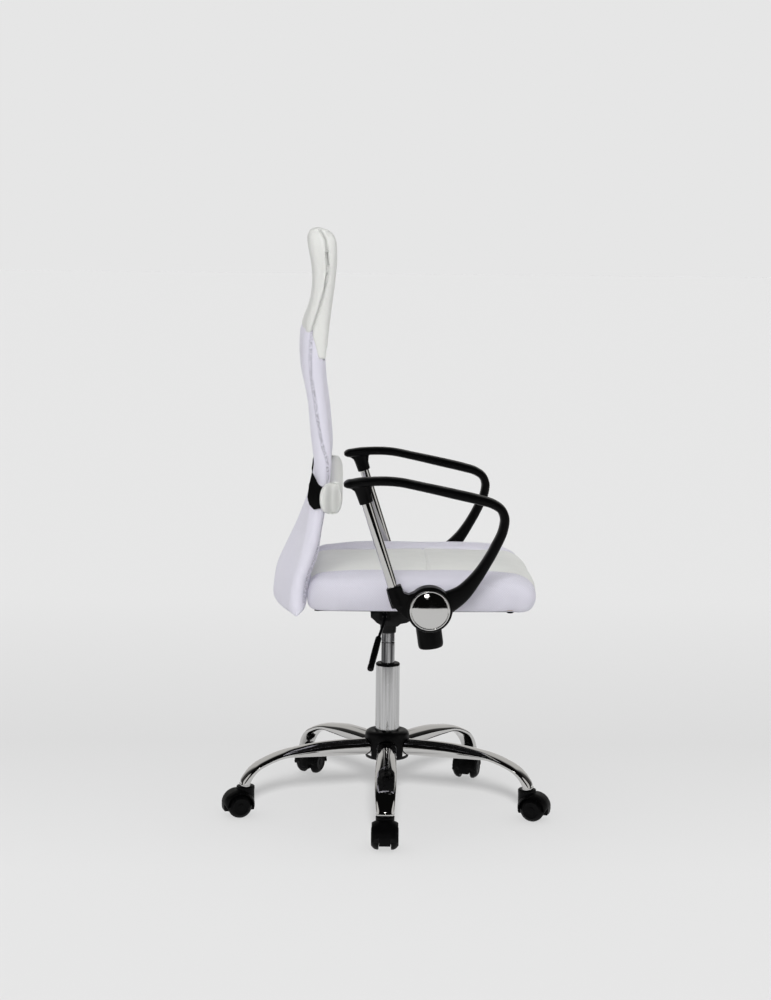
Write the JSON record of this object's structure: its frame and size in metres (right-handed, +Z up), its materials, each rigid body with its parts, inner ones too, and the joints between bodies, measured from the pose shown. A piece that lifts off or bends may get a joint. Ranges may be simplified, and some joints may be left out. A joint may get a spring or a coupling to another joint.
{
  "type": "swivel office chair",
  "caption": "High-back swivel office chair: mesh back with headrest and lumbar pad, padded seat, loop armrests, gas lift and a five-star chrome base on twin-wheel casters.",
  "frame": {"origin": "on the floor, on the axis of the gas lift, with the seat facing forward over the base", "axes": "+X towards the front of the chair, +Y towards its left side, +Z up"},
  "size_m": [0.6782, 0.6618, 1.199],
  "materials": {
    "chrome": "polished",
    "satin_chrome": "satin",
    "steel": "satin",
    "black_nylon": "satin",
    "black_plastic": "satin",
    "black_paint": "satin",
    "plywood": "matte",
    "white_mesh": "matte",
    "white_leatherette": "satin"
  },
  "bodies": {
    "base": {"star_base": "chrome", "hub_cover": "black_plastic", "gas_outer_tube": "satin_chrome", "gas_bush": "black_plastic"},
    "caster_1": {"caster_hood_1": "black_nylon", "caster_stem_1": "steel"},
    "wheel_1_left": {"wheel_1_left": "black_nylon"},
    "wheel_1_right": {"wheel_1_right": "black_nylon"},
    "caster_2": {"caster_hood_2": "black_nylon", "caster_stem_2": "steel"},
    "wheel_2_left": {"wheel_2_left": "black_nylon"},
    "wheel_2_right": {"wheel_2_right": "black_nylon"},
    "caster_3": {"caster_hood_3": "black_nylon", "caster_stem_3": "steel"},
    "wheel_3_left": {"wheel_3_left": "black_nylon"},
    "wheel_3_right": {"wheel_3_right": "black_nylon"},
    "caster_4": {"caster_hood_4": "black_nylon", "caster_stem_4": "steel"},
    "wheel_4_left": {"wheel_4_left": "black_nylon"},
    "wheel_4_right": {"wheel_4_right": "black_nylon"},
    "caster_5": {"caster_hood_5": "black_nylon", "caster_stem_5": "steel"},
    "wheel_5_left": {"wheel_5_left": "black_nylon"},
    "wheel_5_right": {"wheel_5_right": "black_nylon"},
    "piston": {"piston_rod": "steel", "thrust_bearing": "steel"},
    "mechanism": {"gas_cylinder": "chrome", "mechanism_housing": "black_paint", "tilt_pin": "steel", "tension_spring": "steel"},
    "release_button": {"release_button": "steel"},
    "lock_slider": {"lock_bar": "steel"},
    "lever": {"lever_rod": "black_paint", "lever_grip": "black_plastic"},
    "seat": {"seat_plate": "black_paint", "tension_bolt": "steel", "seat_board": "plywood", "seat_cushion": "white_leatherette", "arm_bracket_left": "black_paint", "arm_bracket_right": "black_paint", "back_bracket": "black_paint", "back_tube_left": "black_paint", "back_tube_right": "black_paint", "back_crossbar_bottom": "black_paint", "back_crossbar_top": "black_paint", "back_mesh_front": "white_mesh", "back_mesh_rear": "white_mesh", "headrest_pad": "white_leatherette", "arm_loop_left": "black_plastic", "arm_loop_right": "black_plastic", "arm_post_left": "chrome", "arm_post_right": "chrome", "arm_cap_left": "chrome", "arm_cap_right": "chrome"},
    "spring_washer": {"spring_washer": "steel"},
    "tension_knob": {"tension_knob": "black_plastic"},
    "lumbar": {"lumbar_pad": "white_leatherette", "lumbar_clip_left": "black_plastic", "lumbar_clip_right": "black_plastic"}
  },
  "joints": [
    {"name": "caster_1_swivel", "type": "hinge", "parent": "base", "child": "caster_1", "pos_m": [-0.00879, -0.30337, 0.06], "axis": [0, 0, 1], "continuous": true},
    {"name": "wheel_1_left_spin", "type": "hinge", "parent": "caster_1", "child": "wheel_1_left", "pos_m": [0.01064, -0.31946, 0.025], "axis": [0.9996, -0.0297, 0], "continuous": true},
    {"name": "wheel_1_right_spin", "type": "hinge", "parent": "caster_1", "child": "wheel_1_right", "pos_m": [-0.02914, -0.31827, 0.025], "axis": [0.9996, -0.0297, 0], "continuous": true},
    {"name": "caster_2_swivel", "type": "hinge", "parent": "base", "child": "caster_2", "pos_m": [0.28581, -0.10211, 0.06], "axis": [0, 0, 1], "continuous": true},
    {"name": "wheel_2_left_spin", "type": "hinge", "parent": "caster_2", "child": "wheel_2_left", "pos_m": [0.30711, -0.0886, 0.025], "axis": [0.3371, 0.9415, 0], "continuous": true},
    {"name": "wheel_2_right_spin", "type": "hinge", "parent": "caster_2", "child": "wheel_2_right", "pos_m": [0.29369, -0.12607, 0.025], "axis": [0.3371, 0.9415, 0], "continuous": true},
    {"name": "caster_3_swivel", "type": "hinge", "parent": "base", "child": "caster_3", "pos_m": [0.18543, 0.24027, 0.06], "axis": [0, 0, 1], "continuous": true},
    {"name": "wheel_3_left_spin", "type": "hinge", "parent": "caster_3", "child": "wheel_3_left", "pos_m": [0.19993, 0.21962, 0.025], "axis": [0.9563, -0.2924, 0], "continuous": true},
    {"name": "wheel_3_right_spin", "type": "hinge", "parent": "caster_3", "child": "wheel_3_right", "pos_m": [0.16187, 0.23126, 0.025], "axis": [0.9563, -0.2924, 0], "continuous": true},
    {"name": "caster_4_swivel", "type": "hinge", "parent": "base", "child": "caster_4", "pos_m": [-0.1712, 0.2506, 0.06], "axis": [0, 0, 1], "continuous": true},
    {"name": "wheel_4_left_spin", "type": "hinge", "parent": "caster_4", "child": "wheel_4_left", "pos_m": [-0.1811, 0.27381, 0.025], "axis": [-0.8746, 0.4848, 0], "continuous": true},
    {"name": "wheel_4_right_spin", "type": "hinge", "parent": "caster_4", "child": "wheel_4_right", "pos_m": [-0.14629, 0.25451, 0.025], "axis": [-0.8746, 0.4848, 0], "continuous": true},
    {"name": "caster_5_swivel", "type": "hinge", "parent": "base", "child": "caster_5", "pos_m": [-0.29124, -0.08539, 0.06], "axis": [0, 0, 1], "continuous": true},
    {"name": "wheel_5_left_spin", "type": "hinge", "parent": "caster_5", "child": "wheel_5_left", "pos_m": [-0.30053, -0.10884, 0.025], "axis": [0.2807, -0.9598, 0], "continuous": true},
    {"name": "wheel_5_right_spin", "type": "hinge", "parent": "caster_5", "child": "wheel_5_right", "pos_m": [-0.3117, -0.07064, 0.025], "axis": [0.2807, -0.9598, 0], "continuous": true},
    {"name": "seat_swivel", "type": "hinge", "parent": "base", "child": "piston", "pos_m": [0, 0, 0.105], "axis": [0, 0, 1], "continuous": true},
    {"name": "gas_lift", "type": "slide", "parent": "piston", "child": "mechanism", "axis": [0, 0, 1], "range_m": [-0.05, 0.05]},
    {"name": "button_press", "type": "slide", "parent": "mechanism", "child": "release_button", "axis": [0, 0, -1], "range_m": [0, 0.0052]},
    {"name": "tilt_lock", "type": "slide", "parent": "mechanism", "child": "lock_slider", "axis": [0, -1, 0], "range_m": [-0.01, 0]},
    {"name": "lever_lift", "type": "hinge", "parent": "lock_slider", "child": "lever", "pos_m": [-0.008, -0.03, 0.4105], "axis": [-1, 0, 0], "range_deg": [0, 8], "stiffness_Nm_per_rad": 1.5, "springref_deg": -11.46},
    {"name": "seat_tilt", "type": "hinge", "parent": "mechanism", "child": "seat", "pos_m": [0.045, 0, 0.428], "axis": [0, -1, 0], "range_deg": [0, 10], "stiffness_Nm_per_rad": 120, "springref_deg": -14.32, "deforming": ["tension_spring"]},
    {"name": "washer_travel", "type": "slide", "parent": "seat", "child": "spring_washer", "axis": [-0.1392, 0, 0.9903], "range_m": [-0.0036, 0]},
    {"name": "knob_turn", "type": "hinge", "parent": "spring_washer", "child": "tension_knob", "pos_m": [0.0828, 0, 0.385], "axis": [-0.1392, 0, 0.9903], "range_deg": [-720, 0]},
    {"name": "lumbar_slide", "type": "slide", "parent": "seat", "child": "lumbar", "axis": [0.1191, 0, 0.9929], "range_m": [-0.02, 0.02]}
  ],
  "couplings": [
    {"joint": "button_press", "follows": "lever_lift", "m_per_rad": 0.036},
    {"joint": "washer_travel", "follows": "knob_turn", "m_per_rad": 0.00028}
  ]
}
